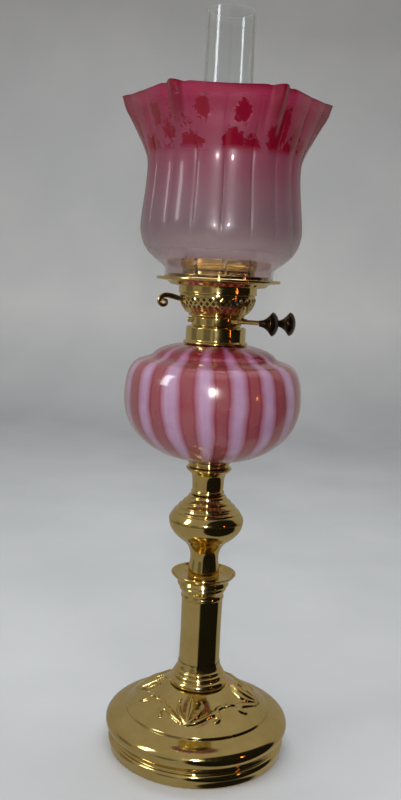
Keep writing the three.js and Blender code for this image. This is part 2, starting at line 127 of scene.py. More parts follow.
def make_lights():
    area_light("window", -66, 27, 1.7, (0.32, 0.8), 6.5, (0.93, 0.97, 1.0))
    area_light("lamp_above_camera", 1, 13, 1.0, (0.03, 0.11), 6, (1.0, 0.97, 0.95))
    area_light("ceiling_panel", -10, 78, 1.9, (1.4, 1.4), 17, (1.0, 0.98, 0.96), reflected=False)
    area_light("warm_room_lamp", 57, 4, 1.5, (0.05, 0.1), 0.35, (1.0, 0.32, 0.08))
    area_light("backdrop_wash", 170, 62, 1.5, (2.2, 0.6), 36, (0.95, 0.985, 1.0), aim=0.9, reflected=False)

    world = bpy.data.worlds.new("room")
    bpy.context.scene.world = world
    world.use_nodes = True
    room = world.node_tree
    direction = room.nodes.new("ShaderNodeTexCoord").outputs["Generated"]

    def facing(right, up, stops):
        """A colour that depends on how near a direction is to the given one."""
        dot = room.nodes.new("ShaderNodeVectorMath")
        dot.operation = "DOT_PRODUCT"
        dot.inputs[1].default_value = toward(right, up)
        room.links.new(direction, dot.inputs[0])
        ramp = room.nodes.new("ShaderNodeValToRGB")
        elements = ramp.color_ramp.elements
        while len(elements) < len(stops):
            elements.new(0.5)
        for element, (position, grey) in zip(elements, stops):
            element.position = position
            element.color = (grey, grey * 0.98, grey * 0.96, 1)
        room.links.new(dot.outputs["Value"], ramp.inputs["Fac"])
        return ramp.outputs["Color"]

    def times(a, b):
        mix = room.nodes.new("ShaderNodeMix")
        mix.data_type = "RGBA"
        mix.blend_type = "MULTIPLY"
        mix.inputs[0].default_value = 1
        room.links.new(a, mix.inputs[6])
        room.links.new(b, mix.inputs[7])
        return mix.outputs[2]

    # Evenly pale all round, with an unlit doorway to the right of the camera and two curtains
    # on the left.
    base = facing(0, 90, ((0.0, 0.3), (0.5, 0.31), (1.0, 0.36)))
    doorway = facing(49, -2, ((0.47, 1.0), (0.54, 0.035)))
    near_curtain = facing(-33, 0, ((0.955, 1.0), (0.98, 0.45)))
    far_curtain = facing(-92, 0, ((0.95, 1.0), (0.985, 0.5)))
    light = times(times(times(base, doorway), near_curtain), far_curtain)
    room.links.new(light, room.nodes["Background"].inputs["Color"])
    bpy.context.scene.view_settings.view_transform = "Standard"


# ---- outlines and meshes ----

def rounded(points, closed=True, steps=6):
    """An outline with eased corners. A point is (radius, height) or (radius, height, ease)."""
    out = []
    last = len(points) - 1
    for i, point in enumerate(points):
        corner = Vector(point[:2])
        ease = point[2] if len(point) > 2 else 0
        if not ease or (not closed and i in (0, last)):
            out.append(corner)
            continue
        before = Vector(points[i - 1][:2]) - corner
        after = Vector(points[(i + 1) % len(points)][:2]) - corner
        start = corner + before.normalized() * min(ease, before.length * 0.49)
        end = corner + after.normalized() * min(ease, after.length * 0.49)
        for k in range(steps + 1):
            t = k / steps
            out.append(start * (1 - t) ** 2 + corner * 2 * t * (1 - t) + end * t * t)
    return out


def flowing(points, steps=8):
    """A smooth curve through all the points, with the slope at each set by its two neighbours."""
    p = [Vector(q) for q in points]
    gaps = [(b - a).length for a, b in zip(p, p[1:])]
    slopes = [(p[1] - p[0]) / gaps[0]]
    for i in range(1, len(p) - 1):
        slopes.append((p[i + 1] - p[i - 1]) / (gaps[i - 1] + gaps[i]))
    slopes.append((p[-1] - p[-2]) / gaps[-1])
    out = []
    for i, gap in enumerate(gaps):
        for k in range(steps):
            t = k / steps
            out.append(p[i] * (2 * t ** 3 - 3 * t * t + 1) + slopes[i] * gap * (t ** 3 - 2 * t * t + t)
                       + p[i + 1] * (3 * t * t - 2 * t ** 3) + slopes[i + 1] * gap * (t ** 3 - t * t))
    return [*out, p[-1]]


def smooth(value, start, end):
    """0 before the start, 1 after the end, and eased between."""
    t = min(1, max(0, (value - start) / (end - start)))
    return t * t * (3 - 2 * t)


def inward(path, thickness):
    """The path moved to its left by a thickness, in the opposite order."""
    out = []
    for i, point in enumerate(path):
        along = path[min(i + 1, len(path) - 1)] - path[max(i - 1, 0)]
        along.normalize()
        out.append(Vector((point.x - along.y * thickness, point.y + along.x * thickness)))
    return out[::-1]


def turned_mesh(path, sides=144, warp=None):
    """A bmesh turned about Z from a path of radius and height that is closed or ends on the axis.
    warp(radius, height, angle) returns the moved radius and height."""
    bm = bmesh.new()
    rings = []
    for point in path:
        ring = []
        for k in range(1 if point.x < 1e-4 else sides):
            angle = TAU * k / sides
            radius, height = warp(point.x, point.y, angle) if warp else point
            ring.append(bm.verts.new((radius * math.cos(angle) * MM, radius * math.sin(angle) * MM,
                                      height * MM)))
        rings.append(ring)
    joined = list(zip(rings, rings[1:]))
    if path[0].x > 1e-4:
        joined.append((rings[-1], rings[0]))
    for low, high in joined:
        if len(low) == len(high) == 1:
            continue
        for k in range(sides):
            n = (k + 1) % sides
            corners = [low[k % len(low)], low[n % len(low)], high[n % len(high)], high[k % len(high)]]
            bm.faces.new(list(dict.fromkeys(corners)))
    bmesh.ops.recalc_face_normals(bm, faces=bm.faces)
    return bm


def piece(name, bm, body, material, nodes=(), sharp=32):
    """An object from a bmesh that rides a body and stands in for CAD nodes."""
    mesh = bpy.data.meshes.new(name)
    bm.to_mesh(mesh)
    bm.free()
    mesh.polygons.foreach_set("use_smooth", [True] * len(mesh.polygons))
    mesh.set_sharp_from_angle(angle=math.radians(sharp))
    mesh.materials.append(material)
    made = bpy.data.objects.new(name, mesh)
    bpy.context.scene.collection.objects.link(made)
    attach(made, body)
    if nodes:
        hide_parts(*nodes)
    return made


def span(node):
    """Lowest height, highest height and radius of a turned CAD node, in millimetres."""
    low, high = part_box(node)
    return low[2] / MM, high[2] / MM, (high[0] - low[0]) / 2 / MM


# ---- materials ----

class Shader:
    """A node material with short calls for the nodes it needs."""

    def __init__(self, name, **values):
        self.material = bpy.data.materials.new(name)
        self.material.use_nodes = True
        self.nodes = self.material.node_tree.nodes
        self.bsdf = self.nodes["Principled BSDF"]
        for socket, value in values.items():
            self.bsdf.inputs[socket.replace("_", " ")].default_value = value
        self.place = self.nodes.new("ShaderNodeTexCoord").outputs["Object"]

    def link(self, source, target):
        self.material.node_tree.links.new(source, target)

    def put(self, source, socket):
        self.link(source, self.bsdf.inputs[socket])

    def maths(self, operation, a, b=0.0, clamp=False):
        node = self.nodes.new("ShaderNodeMath")
        node.operation = operation
        node.use_clamp = clamp
        for value, socket in zip((a, b), node.inputs):
            if isinstance(value, (int, float)):
                socket.default_value = value
            else:
                self.link(value, socket)
        return node.outputs[0]

    def axis(self, letter):
        node = self.nodes.new("ShaderNodeSeparateXYZ")
        self.link(self.place, node.inputs[0])
        return node.outputs[letter]

    def stretched(self, x, y, z):
        node = self.nodes.new("ShaderNodeMapping")
        node.inputs["Scale"].default_value = (x, y, z)
        self.link(self.place, node.inputs["Vector"])
        return node.outputs[0]

    def cloud(self, scale, detail=3.0, rough=0.5, where=None, distortion=0.0):
        node = self.nodes.new("ShaderNodeTexNoise")
        node.inputs["Scale"].default_value = scale
        node.inputs["Detail"].default_value = detail
        node.inputs["Roughness"].default_value = rough
        node.inputs["Distortion"].default_value = distortion
        self.link(where or self.place, node.inputs["Vector"])
        return node.outputs["Fac"]

    def ramp(self, source, *stops):
        """Colour stops are (position, (r, g, b)) or (position, grey)."""
        node = self.nodes.new("ShaderNodeValToRGB")
        elements = node.color_ramp.elements
        while len(elements) < len(stops):
            elements.new(0.5)
        for element, (position, colour) in zip(elements, stops):
            element.position = position
            grey = isinstance(colour, (int, float))
            element.color = (colour, colour, colour, 1) if grey else (*colour, 1)
        self.link(source, node.inputs["Fac"])
        return node.outputs["Color"]

    def mix(self, factor, a, b):
        node = self.nodes.new("ShaderNodeMix")
        node.data_type = "RGBA"
        for value, socket in ((factor, node.inputs[0]), (a, node.inputs[6]), (b, node.inputs[7])):
            if isinstance(value, (int, float)):
                socket.default_value = value
            elif isinstance(value, tuple):
                socket.default_value = (*value, 1)
            else:
                self.link(value, socket)
        return node.outputs[2]

    def bump(self, height, strength, distance):
        node = self.nodes.new("ShaderNodeBump")
        node.inputs["Strength"].default_value = strength
        node.inputs["Distance"].default_value = distance
        self.link(height, node.inputs["Height"])
        self.put(node.outputs[0], "Normal")


def brass_material(name, light, dark, shine):
    s = Shader(name, Metallic=1.0)
    patches = s.cloud(38, detail=5, rough=0.6)
    s.put(s.ramp(patches, (0.3, dark), (0.62, light)), "Base Color")
    smears = s.cloud(90, detail=6, rough=0.7, where=s.stretched(1, 1, 0.35))
    s.put(s.ramp(smears, (0.35, shine), (0.75, shine + 0.1)), "Roughness")
    spun = s.cloud(60, detail=2, where=s.stretched(0.4, 0.4, 26))
    s.bump(spun, 0.05, 0.00012)
    return s.material


def bronze_material():
    s = Shader("dark_bronze", Metallic=1.0)
    worn = s.cloud(210, detail=6, rough=0.65)
    s.put(s.ramp(worn, (0.4, (0.022, 0.018, 0.014)), (0.74, (0.16, 0.11, 0.06))), "Base Color")
    s.put(s.ramp(worn, (0.3, 0.34), (0.8, 0.22)), "Roughness")
    s.bump(s.cloud(900, detail=3), 0.15, 0.0001)
    return s.material


def iron_material():
    s = Shader("cast_iron", Metallic=0.7)
    grain = s.cloud(420, detail=6, rough=0.7)
    s.put(s.ramp(grain, (0.3, (0.035, 0.033, 0.032)), (0.7, (0.11, 0.1, 0.1))), "Base Color")
    s.put(s.ramp(grain, (0.2, 0.62), (0.8, 0.88)), "Roughness")
    s.bump(grain, 0.6, 0.0006)
    return s.material


def steel_material():
    s = Shader("plain_steel", Metallic=1.0)
    grain = s.cloud(260, detail=5, where=s.stretched(1, 1, 0.2))
    s.put(s.ramp(grain, (0.3, (0.33, 0.33, 0.34)), (0.7, (0.52, 0.52, 0.53))), "Base Color")
    s.put(s.ramp(grain, (0.3, 0.28), (0.7, 0.42)), "Roughness")
    s.bump(grain, 0.15, 0.0001)
    return s.material


def plaster_material():
    s = Shader("setting_plaster")
    grain = s.cloud(500, detail=6, rough=0.7)
    s.put(s.ramp(grain, (0.3, (0.62, 0.58, 0.5)), (0.7, (0.82, 0.79, 0.71))), "Base Color")
    s.put(s.ramp(grain, (0.3, 0.8), (0.7, 0.98)), "Roughness")
    s.bump(grain, 0.5, 0.0004)
    return s.material


def cotton_material():
    s = Shader("wick_cotton")
    weave = s.maths("MULTIPLY", s.maths("SINE", s.maths("MULTIPLY", s.axis("X"), 6200)),
                    s.maths("SINE", s.maths("MULTIPLY", s.axis("Z"), 5200)))
    charred = s.maths("MULTIPLY", s.maths("SUBTRACT", s.axis("Z"), CHARRED_FROM), 500, clamp=True)
    thread = s.ramp(s.maths("ADD", s.maths("MULTIPLY", weave, 0.5), 0.5),
                    (0.2, (0.5, 0.43, 0.31)), (0.8, (0.82, 0.76, 0.63)))
    s.put(s.mix(charred, thread, (0.02, 0.017, 0.015)), "Base Color")
    s.put(s.ramp(weave, (0.2, 0.98), (0.8, 0.88)), "Roughness")
    s.bump(weave, 0.6, 0.0003)
    return s.material


def clear_glass_material():
    s = Shader("clear_glass", IOR=1.47, Transmission_Weight=1.0, Base_Color=(0.97, 0.985, 0.98, 1))
    s.put(s.ramp(s.cloud(30, detail=4), (0.4, 0.0), (0.85, 0.05)), "Roughness")
    s.bump(s.cloud(22, detail=1), 0.06, 0.001)
    return s.material


def around(s):
    """The angle round the lamp's axis, from -pi to pi."""
    return s.maths("ARCTAN2", s.axis("Y"), s.axis("X"))


def striped_glass_material():
    s = Shader("striped_glass", IOR=1.5, Coat_Weight=1.0, Coat_Roughness=0.02)
    low, high = (v[2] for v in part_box("font_glass"))
    height = s.maths("SUBTRACT", s.axis("Z"), (low + high) / 2)
    wander = s.maths("MULTIPLY", s.maths("SUBTRACT", s.cloud(17, detail=2), 0.5), 0.14)
    turn = s.maths("ADD", s.maths("ADD", around(s), height), wander)
    wave = s.maths("MULTIPLY", s.maths("SINE", s.maths("MULTIPLY", turn, STRIPES)), 0.5)
    crown = s.maths("MULTIPLY", s.maths("SUBTRACT", s.axis("Z"), low + FONT_CROWN), 75, clamp=True)
    foot = s.maths("MULTIPLY", s.maths("SUBTRACT", low + FONT_FOOT, s.axis("Z")), 60, clamp=True)
    fade = s.maths("MULTIPLY", crown, 0.16)
    streaks = s.maths("MULTIPLY", s.cloud(34, detail=4, where=s.stretched(1, 1, 0.18)), 0.34)
    strength = s.maths("SUBTRACT", s.maths("ADD", wave, 0.67), s.maths("ADD", streaks, fade))
    milky = s.ramp(strength, (0.26, 0.0), (0.92, 1.0))
    lining = s.ramp(s.maths("ADD", wave, 0.5), (0.16, 0.0), (0.36, 1.0), (0.5, 0.0))
    cloudy = s.cloud(60, detail=5, rough=0.62)
    red = s.mix(cloudy, (0.36, 0.07, 0.08), (0.48, 0.14, 0.17))
    lined = s.mix(lining, red, (0.36, 0.03, 0.07))
    deep = s.mix(crown, lined, (0.3, 0.012, 0.04))
    white = s.mix(cloudy, (0.34, 0.17, 0.3), (0.5, 0.34, 0.5))
    mauve = s.mix(crown, white, (0.42, 0.16, 0.32))
    soft_white = s.mix(foot, mauve, (0.42, 0.22, 0.3))
    s.put(s.mix(milky, deep, soft_white), "Base Color")
    s.put(s.ramp(milky, (0.0, 0.5), (1.0, 0.16)), "Transmission Weight")
    s.put(s.ramp(cloudy, (0.3, 0.16), (0.8, 0.3)), "Roughness")
    s.bump(milky, 0.12, 0.0008)
    return s.material


def shade_glass_material():
    s = Shader("etched_cranberry_glass", IOR=1.38, Coat_Weight=0.4, Coat_Roughness=0.02)
    low, high = (v[2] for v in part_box("shade_glass"))
    rise = s.maths("DIVIDE", s.maths("SUBTRACT", s.axis("Z"), low), high - low)
    cloudy = s.cloud(20, detail=3)
    level = s.maths("ADD", rise, s.maths("MULTIPLY", s.maths("SUBTRACT", cloudy, 0.5), 0.1))
    tint = s.ramp(level, (0.0, (0.8, 0.72, 0.7)), (0.1, (0.78, 0.66, 0.66)), (0.3, (0.44, 0.31, 0.35)),
                  (0.55, (0.44, 0.16, 0.235)), (0.76, (0.45, 0.075, 0.15)), (0.9, (0.42, 0.028, 0.09)),
                  (0.965, (0.46, 0.04, 0.11)), (1.0, (0.32, 0.004, 0.035)))

    # Acid-etched foliage in the flare: clear deep leaves on a frosted ground, thickest low down.
    leaves = s.nodes.new("ShaderNodeTexVoronoi")
    leaves.inputs["Scale"].default_value = 52
    leaves.inputs["Randomness"].default_value = 0.9
    s.link(s.stretched(1.0, 1.0, 0.7), leaves.inputs["Vector"])
    veins = s.cloud(120, detail=5, rough=0.65, distortion=1.6)
    shape = s.maths("ADD", leaves.outputs["Distance"], s.maths("MULTIPLY", veins, 0.8))
    sparse = s.ramp(rise, (0.68, 0.0), (0.76, 0.0), (0.84, 0.16), (0.97, 0.26))
    leaf = s.ramp(s.maths("ADD", shape, sparse), (0.93, 1.0), (0.99, 0.0))
    band = s.ramp(rise, (0.655, 0.0), (0.7, 1.0), (0.94, 1.0), (0.965, 0.0))
    pattern = s.maths("MULTIPLY", leaf, band)
    # Painted shade in the crimp folds: near the rim, a narrow band along each fold is painted dark crimson
    # and lets less light through.
    corners = s.maths("SUBTRACT", around(s), SHADE_TURN)
    fold = s.maths("COSINE", s.maths("MULTIPLY", corners, RIM_CORNERS))
    at_corner = s.ramp(fold, (0.86, 0.0), (0.95, 0.8))
    painted_fold_shade = s.maths("MULTIPLY", at_corner, s.ramp(rise, (0.74, 0.0), (0.86, 1.0)))
    etched = s.mix(pattern, tint, (0.24, 0.003, 0.022))
    s.put(s.mix(painted_fold_shade, etched, (0.2, 0.002, 0.02)), "Base Color")
    frost = s.ramp(rise, (0.0, 0.0), (0.09, 0.02), (0.17, 0.3), (0.4, 0.42), (0.9, 0.38), (0.96, 0.2))
    s.put(s.mix(pattern, frost, (0.14, 0.14, 0.14)), "Roughness")
    clear = s.ramp(rise, (0.0, 1.0), (0.1, 0.98), (0.2, 0.8), (0.6, 0.68), (1.0, 0.6))
    # The etched leaves and the painted fold shade both pass less light.
    leaves_and_fold_shade = s.maths("MAXIMUM", pattern, painted_fold_shade)
    s.put(s.mix(leaves_and_fold_shade, clear, (0.34, 0.34, 0.34)), "Transmission Weight")
    s.bump(s.maths("SUBTRACT", 1.0, pattern), 0.35, 0.0004)
    return s.material


def stage_material():
    s = Shader("pale_studio", Roughness=0.8)
    tone = s.cloud(3.5, detail=4)
    floor = s.ramp(tone, (0.35, (0.4, 0.415, 0.43)), (0.7, (0.45, 0.465, 0.48)))
    wall = s.ramp(tone, (0.35, (0.68, 0.69, 0.7)), (0.7, (0.74, 0.745, 0.75)))
    climb = s.maths("MULTIPLY", s.axis("Z"), 3, clamp=True)
    s.put(s.mix(climb, floor, wall), "Base Color")
    s.bump(s.cloud(260, detail=4), 0.1, 0.0006)
    return s.material


BRASS = brass_material("polished_brass", (0.74, 0.58, 0.23), (0.64, 0.48, 0.16), 0.075)
DULL_BRASS = brass_material("inner_brass", (0.52, 0.38, 0.15), (0.4, 0.27, 0.1), 0.26)
BRONZE = bronze_material()
IRON = iron_material()
STEEL = steel_material()
PLASTER = plaster_material()
COTTON = cotton_material()
CLEAR = clear_glass_material()
STRIPED = striped_glass_material()
ETCHED = shade_glass_material()


# ---- base ----

def bezier(points, steps=14):
    """Points along a cubic curve with two end points and two handles."""
    a, b, c, d = (Vector(p) for p in points)
    out = []
    for k in range(steps + 1):
        t = k / steps
        out.append(a * (1 - t) ** 3 + b * 3 * t * (1 - t) ** 2 + c * 3 * t * t * (1 - t) + d * t ** 3)
    return out


# Each stroke of the relief: four curve points (out from the axis, sideways), its half width at
# the start, middle and end, and its height.
PALMETTE_STROKES = [
    ([(60, 0), (52, 0), (42, 0), (31.5, 0)], (0.8, 4.6, 0.5), 2.2),
    ([(59, 1), (54, 4), (48, 15), (37, 9.5)], (0.8, 3.0, 0.5), 1.9),
    ([(59.5, 2), (57, 10), (50, 18), (49.5, 23)], (0.8, 2.4, 3.0), 1.7),
    ([(49.5, 23), (49, 29), (56, 31), (57, 27)], (3.0, 2.2, 1.6), 1.6),
    ([(50, 24), (45, 26), (43, 31), (46, 35)], (2.2, 2.2, 0.6), 1.5),
]


def stroke_samples():
    """Rows of (out, sideways, half width, height) along every stroke of both halves."""
    rows = []
    for points, (start, middle, end), height in PALMETTE_STROKES:
        for mirror in ((1,) if points[0][1] == 0 else (1, -1)):
            curve = bezier([(u, v * mirror) for u, v in points])
            for k, p in enumerate(curve):
                t = k / (len(curve) - 1)
                width = start * (1 - t) ** 2 + middle * 2 * t * (1 - t) * 1.3 + end * t * t
                rows.append((p.x, p.y, width, height))
    return np.array(rows)


STROKES = stroke_samples()


def palmette_height(radius, angle):
    """Height of the relief above the dome, in millimetres."""
    nearest, farthest = PALMETTE_REACH
    if not nearest < radius < farthest:
        return 0.0
    step = TAU / PALMETTES
    off = (angle - PALMETTE_TURN + step / 2) % step - step / 2
    sideways = off * radius
    gap = np.hypot(STROKES[:, 0] - radius, STROKES[:, 1] - sideways) / STROKES[:, 2]
    crest = np.where(gap < 1, STROKES[:, 3] * np.sqrt(np.clip(1 - gap ** 2, 0, 1)), 0)
    return float(crest.max())


def make_base():
    low, top, radius = span("base_shell")
    skirt = rounded([(76, low), (radius - 4.4, low, 1), (radius - 3.6, low + 5.6, 2),
                     (radius - 2.6, low + 8.8, 2.4), (radius - 4, low + 11.9, 1.2),
                     (radius - 6.2, low + 12.9, 0.8), (radius - 6.2, low + 15.6, 0.8),
                     (radius - 3.6, low + 17.6, 1)], closed=False)[:-1]
    bulge = flowing([(radius - 3.4, low + 18.2), (radius - 1.2, low + 21.6), (radius, low + 25.5),
                     (radius - 0.6, low + 29), (radius - 3.6, low + 32.6), (radius - 9, low + 35.4),
                     (radius - 15, low + 37.2), (radius - 17.8, low + 38)])
    quirk = rounded([(radius - 18, low + 38.1), (radius - 18.6, low + 38.2, 0.4),
                     (radius - 19, low + 40.6, 0.8), (radius - 20.6, low + 41.6)], closed=False)
    dome = flowing([(radius - 20.8, low + 41.8), (60, low + 46.9), (52, low + 51.8), (44, low + 56.2),
                    (36, low + 60.2), (28.5, low + 63.1), (22, low + 63.7)], steps=11)
    outside = [*skirt, *bulge, *quirk, *dome, Vector((9, top - 0.3))]
    inside = [Vector(p) for p in (
        (9, top - 1.4), (28, top - 2.4), (57, low + 46.4), (66, low + 40.6), (69, low + 36.6),
        (77, low + 34), (84, low + 30.4), (radius - 1.8, low + 25.6), (radius - 5, low + 18.6),
        (radius - 7.6, low + 15.4), (radius - 7.6, low + 13.4), (radius - 4.2, low + 8.6),
        (radius - 6, low + 1.4), (76, low + 1.4))]
    dome_low = low + 41.7
    raised = {round(p.x, 6) for p in dome}

    def warp(r, z, angle):
        if z > dome_low and round(r, 6) in raised:
            height = palmette_height(r, angle)
            return r + height * math.sin(DOME_SLOPE), z + height * math.cos(DOME_SLOPE)
        return r, z

    shell = turned_mesh([*outside, *inside], 540, warp)
    piece("base", shell, "stand", BRASS, ["base_shell"], 40)

    low, top, radius = span("base_ballast")
    block = rounded([(ROD_HOLE_R, low), (radius, low, 2), (radius, low + 11, 3), (24, low + 16, 3),
                     (20, top, 2), (ROD_HOLE_R, top)])
    piece("ballast", turned_mesh(block, 96), "stand", IRON, ["base_ballast"])
    low, top, radius = span("rod_washer")
    washer = rounded([(ROD_HOLE_R, low), (radius, low, 0.4), (radius, top, 0.4), (ROD_HOLE_R, top)])
    piece("washer", turned_mesh(washer, 72), "stand", STEEL, ["rod_washer"])
    low, top, radius = span("tie_rod")
    thread = []
    for k in range(28):
        thread += [Vector((radius - 0.5, low + 1 + k)), Vector((radius, low + 1.5 + k))]
    rod = [Vector((0, low)), Vector((radius - 0.6, low)), *thread, Vector((radius, top)), Vector((0, top))]
    piece("threaded_rod", turned_mesh(rod, 48), "stand", STEEL, ["tie_rod"])


# ---- pillar, dish and knop ----

def make_pillar():
    low, top, radius = span("pillar_foot")
    foot = rounded([(10.3, low), (radius - 0.8, low), (radius, low + 1.4, 0.8), (radius - 0.1, low + 3, 1),
                    (radius - 1.6, low + 5.4, 1), (radius - 3.2, low + 6, 0.4), (radius - 3.6, low + 7, 0.3),
                    (radius - 3, low + 8.2, 0.8), (radius - 4, low + 10.2, 0.8),
                    (radius - 5.6, low + 10.8, 0.4), (radius - 5.2, low + 12.4, 0.8),
                    (radius - 6.2, low + 14, 0.8), (radius - 7.6, low + 14.6, 0.4),
                    (radius - 7.2, low + 16.2, 0.7), (radius - 7.8, low + 17.8, 0.6),
                    (radius - 8, low + 20, 0.5), (20.2, top), (10.3, top)])
    piece("pillar_foot_rings", turned_mesh(foot), "stand", BRASS, ["pillar_foot"])
    low, top, radius = span("pillar_tube")
    tube = rounded([(radius - 1.2, low), (radius, low), (radius - 0.3, (low + top) / 2), (radius, top),
                    (radius - 1.2, top)])
    piece("pillar", turned_mesh(tube), "stand", BRASS, ["pillar_tube"])
    low, top, radius = span("pillar_capital")
    capital = rounded([(ROD_HOLE_R, low), (radius - 4.6, low, 0.4), (radius - 4, low + 1.6, 1),
                       (radius - 4.6, low + 3.2, 0.6), (radius - 4.8, low + 4.4, 0.6),
                       (radius - 3.8, low + 7.4, 2), (radius - 2.6, low + 9, 0.6),
                       (radius - 2, low + 10.6, 1),
                       (radius - 2.8, low + 12, 0.5), (radius - 0.6, low + 13.2, 0.6),
                       (radius, low + 14.8, 1), (radius - 0.8, low + 16.4, 0.6), (radius - 1.6, top),
                       (ROD_HOLE_R, top)])
    piece("capital", turned_mesh(capital), "stand", BRASS, ["pillar_capital"])
    low, top, radius = span("drip_dish")
    dish = rounded([(ROD_HOLE_R, low), (radius - 7, low, 2), (radius - 3, low + 1.8, 2),
                    (radius - 0.6, low + 5, 1),
                    (radius, top - 0.8, 0.5), (radius - 0.5, top, 0.5), (radius - 1.3, top - 0.4, 0.5),
                    (radius - 3.7, low + 3.2, 2), (radius - 7.4, low + 1.6, 2), (ROD_HOLE_R, low + 1.6)])
    piece("dish", turned_mesh(dish), "stand", BRASS, ["drip_dish"])


def make_knop():
    low, rim, radius = span("knop_lower")
    outer = flowing([(15.2, low), (14.9, low + 6), (14.1, low + 13), (13.5, low + 19), (14.2, low + 25),
                     (16.6, low + 30.6), (20.4, low + 35.2), (26, low + 39.4), (31.2, low + 44.6),
                     (34.4, low + 50.2), (radius, rim)])
    vase = [*outer, *inward(outer, 1.1)]
    piece("vase", turned_mesh(vase), "stand", BRASS, ["knop_lower"])
    low, top, radius = span("knop_upper")
    steps = [(radius, low, 0.4), (radius - 0.2, low + 2, 2), (radius - 2.4, low + 5.8, 2)]
    for edge, drop in ((4.2, 7.6), (8.2, 12.2), (12.6, 16.6)):
        steps += [(radius - edge + 0.5, low + drop - 0.2, 0.3), (radius - edge - 0.4, low + drop, 0.3),
                  (radius - edge - 0.2, low + drop + 1.4, 0.7), (radius - edge - 1.2, low + drop + 1.9, 0.5),
                  (radius - edge - 2.4, low + drop + 2.5, 0.8)]
    steps += [(radius - 17.2, low + 21.6, 0.4), (radius - 17.6, low + 23.2, 0.6),
              (radius - 19.4, top - 0.3, 0.4)]
    lid = rounded([*steps, (8.6, top), (8.6, top - 1.4), (15, top - 2.4), (28.4, low + 7),
                   (radius - 1.2, low)])
    piece("stepped_cover", turned_mesh(lid), "stand", BRASS, ["knop_upper"])
    low, top, radius = span("font_socket")
    neck = rounded([(ROD_HOLE_R, low), (14.6, low), (15.7, low + 0.7, 0.6), (15.9, low + 2, 0.8),
                    (15.4, low + 3.4, 0.6),
                    (14.6, low + 4, 0.4), (14.9, low + 6, 2), (15.1, low + 15, 3), (16.6, low + 20, 2),
                    (radius - 1.4, low + 22.6, 1.6), (radius, low + 24.6, 0.6), (radius, top - 0.5, 0.5),
                    (radius - 1, top, 0.4), (10.4, top), (10.4, low + 17), (ROD_HOLE_R, low + 17)])
    piece("font_neck", turned_mesh(neck), "stand", BRASS, ["font_socket"])
    low, top, radius = span("font_peg")
    peg = rounded([(0, low), (10, low), (10, low + 8.3), (radius - 1.4, low + 8.3, 0.4),
                   (radius - 0.2, low + 9.6, 0.8), (radius - 1.2, low + 11, 0.6),
                   (radius, low + 12.4, 0.9), (radius - 0.6, top, 0.4), (0, top)], closed=False)
    piece("peg", turned_mesh(peg), "stand", BRASS, ["font_peg"])


# ---- font ----

def make_font():
    low, top, radius = span("font_glass")
    wall = 3.2
    belly = flowing([(12, low), (19.4, low + 0.1), (26.4, low + 1.6), (36, low + 4.3), (46.2, low + 7.8),
                     (57.4, low + 14), (66.7, low + 21.4), (74.4, low + 30.4), (79.6, low + 41.2),
                     (radius - 0.1, low + 53), (radius - 0.1, low + 65), (81, low + 75.6), (78.6, low + 84),
                     (75.6, low + 89), (71.4, low + 92.6), (66, low + 94.8), (61.4, low + 96.2),
                     (57.8, low + 98.2), (54.6, low + 101.2), (50, low + 104.2), (44, low + 106.5),
                     (37, low + 108.4), (30.6, low + 109.2), (24.4, low + 109.6)])
    neck = rounded([(23.2, low + 109.7), (22.5, low + 111, 0.6), (22.5, top), (19, top), (19, low + 107.4, 1),
                    (21, low + 106.4, 1)], closed=False)
    inner = inward(belly[3:-3], wall)
    font = [Vector((0, low)), *belly, *neck, *inner, Vector((0, low + wall))]
    piece("font", turned_mesh(font, 192), "stand", STRIPED, ["font_glass"], 50)

    low, top, radius = span("font_collar")
    tube = radius - 2.3
    collar = rounded([(tube - 1.4, low), (radius - 0.4, low, 0.4), (radius, low + 0.9, 0.5),
                      (radius - 0.4, low + 2, 0.5),
                      (tube + 0.5, low + 2.6, 0.5), (tube, low + 3.6, 0.4), (tube, top - 1.3, 0.5),
                      (tube - 1.3, top, 0.6), (20.2, top, 0.3), (20.2, top - 3, 0.3),
                      (tube - 1.4, top - 5.4)])
    piece("collar", turned_mesh(collar), "stand", BRASS, ["font_collar"])
    low, top, radius = span("collar_plaster")
    ring = rounded([(22.8, low), (radius, low), (radius, top, 0.5), (22.8, top, 0.5)])
    piece("plaster_ring", turned_mesh(ring, 96), "stand", PLASTER, ["collar_plaster"])


# ---- burner ----

def make_chamber():
    low, top, radius = span("burner_chamber")
    floor = low + 5.9
    wall = rounded([(18.6, low), (19.8, low), (19.8, floor), (radius - 0.6, floor, 0.4),
                    (radius, floor + 0.8, 0.5), (radius, top - 0.9, 0.3), (radius - 0.5, top), (21.8, top),
                    (21.8, floor + 1.2), (16.2, floor + 1.2), (16.2, floor), (18.6, floor)])
    piece("winder_chamber", turned_mesh(wall), "burner", BRASS, ["burner_chamber"])
    low, top, radius = span("burner_bead")
    bead = rounded([(22, low), (radius - 1.6, low, 0.5), (radius - 0.2, low + 0.6, 0.8),
                    (radius, (low + top) / 2, 0.6),
                    (radius - 0.2, top - 0.6, 0.8), (radius - 1.6, top, 0.5), (22, top)])
    piece("bead", turned_mesh(bead), "burner", BRASS, ["burner_bead"])


